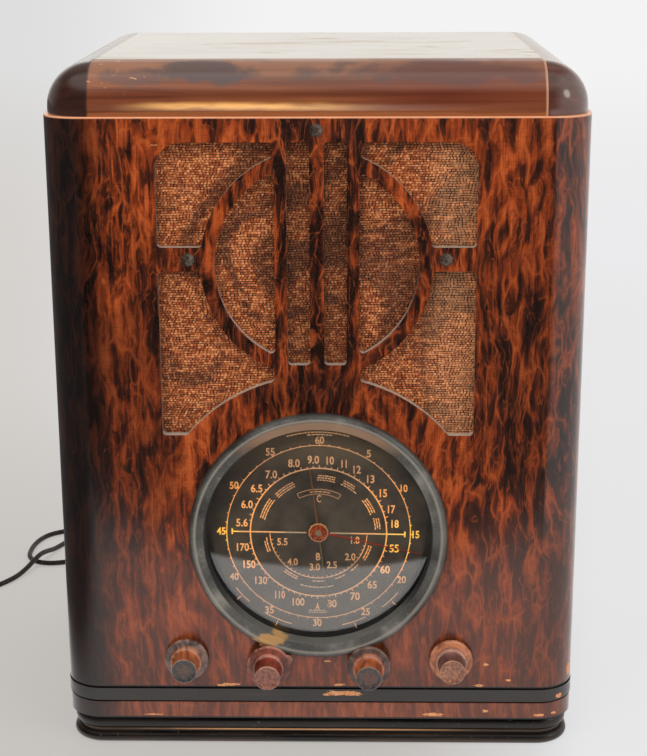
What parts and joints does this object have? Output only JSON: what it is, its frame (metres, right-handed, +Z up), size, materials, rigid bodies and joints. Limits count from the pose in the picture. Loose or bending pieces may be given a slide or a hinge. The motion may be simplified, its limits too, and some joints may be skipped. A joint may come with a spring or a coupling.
{
  "type": "radio receiver",
  "caption": "Wooden table radio with a rolled lid, a ring-shaped loudspeaker grille, a large round dial with hands, turned knobs, an open back with chassis, and a mains cord.",
  "frame": {"origin": "on the table under the middle of the set, knobs included", "axes": "+Z up, -Y out of the front with the dial and knobs, +X to the right seen from the front"},
  "size_m": [0.6092, 0.489, 0.5251],
  "materials": {
    "veneer": "glossy",
    "lid_wood": "glossy",
    "black_lacquer": "satin",
    "bare_wood": "matte",
    "grille_cloth": "coarse woven",
    "bezel": "satin",
    "clear_glass": "clear",
    "dial_print": "matte",
    "plated_steel": "dull plated",
    "lamp": "clear",
    "aluminium_plates": "satin",
    "gear_brass": "satin",
    "hand_gilt": "satin",
    "hand_red": "satin",
    "hub_amber": "glossy",
    "shaft_steel": "satin",
    "belt_rubber": "matte",
    "knob_brown": "satin",
    "phenolic": "satin",
    "control_metal": "dull",
    "dark_iron": "satin",
    "cone_paper": "matte",
    "copper_winding": "varnished",
    "tube_glass": "clear, silvered top",
    "cord_cloth": "braided"
  },
  "bodies": {
    "cabinet": {"front_panel": "veneer", "side_left": "veneer", "side_right": "veneer", "plinth_strip": "veneer", "lid_panel": "lid_wood", "lid_rail_left": "lid_wood", "lid_rail_right": "lid_wood", "trim_band": "black_lacquer", "base_moulding": "black_lacquer", "corner_posts": "bare_wood", "bottom_board": "bare_wood", "baffle_board": "bare_wood", "grille_cloth": "grille_cloth", "dial_bezel": "bezel", "dial_glass": "clear_glass", "dial_scale": "dial_print", "dial_pan": "plated_steel", "chassis": "plated_steel", "chassis_bolts": "plated_steel", "dial_lamps": "lamp", "capacitor_frame": "aluminium_plates", "capacitor_stator": "aluminium_plates", "shield_cans": "aluminium_plates", "filter_cans": "aluminium_plates", "tuning_bushing": "gear_brass", "plug_pins": "gear_brass", "drive_belt": "belt_rubber", "cord_sleeve": "belt_rubber", "band_switch": "phenolic", "tube_sockets": "phenolic", "tube_bases": "phenolic", "plug_body": "phenolic", "control_bodies": "control_metal", "speaker_basket": "dark_iron", "field_pot": "dark_iron", "output_transformer": "dark_iron", "power_transformer": "dark_iron", "speaker_bolts": "dark_iron", "cone_surround": "cone_paper", "field_coil": "copper_winding", "tube_glass": "tube_glass", "power_cord": "cord_cloth", "cord_coil": "cord_cloth", "cord_tie": "cord_cloth"},
    "tuning": {"tuning_knob": "knob_brown", "tuning_shaft": "shaft_steel"},
    "dial_drive": {"drive_drum": "gear_brass", "capacitor_rotor": "aluminium_plates", "main_hand": "hand_gilt", "hand_hub": "hub_amber"},
    "idler": {"idler_gear": "gear_brass"},
    "vernier": {"vernier_tube": "gear_brass", "vernier_hand": "hand_red"},
    "volume": {"volume_knob": "knob_brown", "volume_shaft": "shaft_steel"},
    "tone": {"tone_knob": "knob_brown", "tone_shaft": "shaft_steel"},
    "band": {"band_knob": "knob_brown", "band_shaft": "shaft_steel"},
    "cone": {"speaker_cone": "cone_paper"}
  },
  "joints": [
    {"name": "tuning_turn", "type": "hinge", "parent": "cabinet", "child": "tuning", "pos_m": [0.1015, -0.145, 0.0745], "axis": [0, 1, 0], "range_deg": [-498, 582]},
    {"name": "main_hand_turn", "type": "hinge", "parent": "cabinet", "child": "dial_drive", "pos_m": [0, -0.128, 0.174], "axis": [0, 1, 0], "range_deg": [-83.1, 97.1]},
    {"name": "idler_turn", "type": "hinge", "parent": "cabinet", "child": "idler", "pos_m": [0, -0.103, 0.21], "axis": [0, 1, 0], "range_deg": [-388.1, 332.1]},
    {"name": "vernier_hand_turn", "type": "hinge", "parent": "cabinet", "child": "vernier", "pos_m": [0, -0.127, 0.174], "axis": [0, 1, 0], "range_deg": [-996.1, 1164.1]},
    {"name": "volume_turn", "type": "hinge", "parent": "cabinet", "child": "volume", "pos_m": [-0.1015, -0.145, 0.0745], "axis": [0, 1, 0], "range_deg": [-150, 150]},
    {"name": "tone_turn", "type": "hinge", "parent": "cabinet", "child": "tone", "pos_m": [0.0383, -0.15, 0.071], "axis": [0, 1, 0], "range_deg": [-150, 150]},
    {"name": "band_turn", "type": "hinge", "parent": "cabinet", "child": "band", "pos_m": [-0.0383, -0.15, 0.071], "axis": [0, 1, 0], "range_deg": [-30, 30]},
    {"name": "cone_travel", "type": "slide", "parent": "cabinet", "child": "cone", "axis": [0, 1, 0], "range_m": [-0.001, 0.001], "stiffness_N_per_m": 800}
  ],
  "couplings": [
    {"joint": "main_hand_turn", "follows": "tuning_turn", "ratio": 0.16667},
    {"joint": "idler_turn", "follows": "tuning_turn", "ratio": -0.66667},
    {"joint": "vernier_hand_turn", "follows": "tuning_turn", "ratio": 2}
  ]
}
